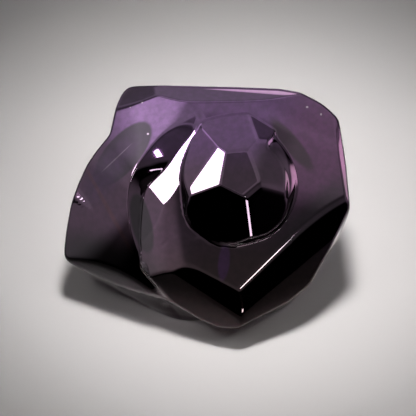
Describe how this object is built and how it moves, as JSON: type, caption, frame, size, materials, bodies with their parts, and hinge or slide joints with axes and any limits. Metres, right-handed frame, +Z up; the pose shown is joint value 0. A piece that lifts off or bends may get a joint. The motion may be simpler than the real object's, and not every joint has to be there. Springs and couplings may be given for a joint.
{
  "type": "rainbow obsidian freeform",
  "caption": "Polished freeform of dark volcanic glass with a faceted dome set in a swept bowl, for display on a table.",
  "frame": {"origin": "on the table, under the middle of the stone's box", "axes": "+Z up, the carved face looks towards -Y and up, +X to the right of someone facing it"},
  "size_m": [0.099, 0.0702, 0.068],
  "materials": {
    "obsidian": "polished"
  },
  "bodies": {
    "root": {"stone": "obsidian"}
  },
  "joints": []
}
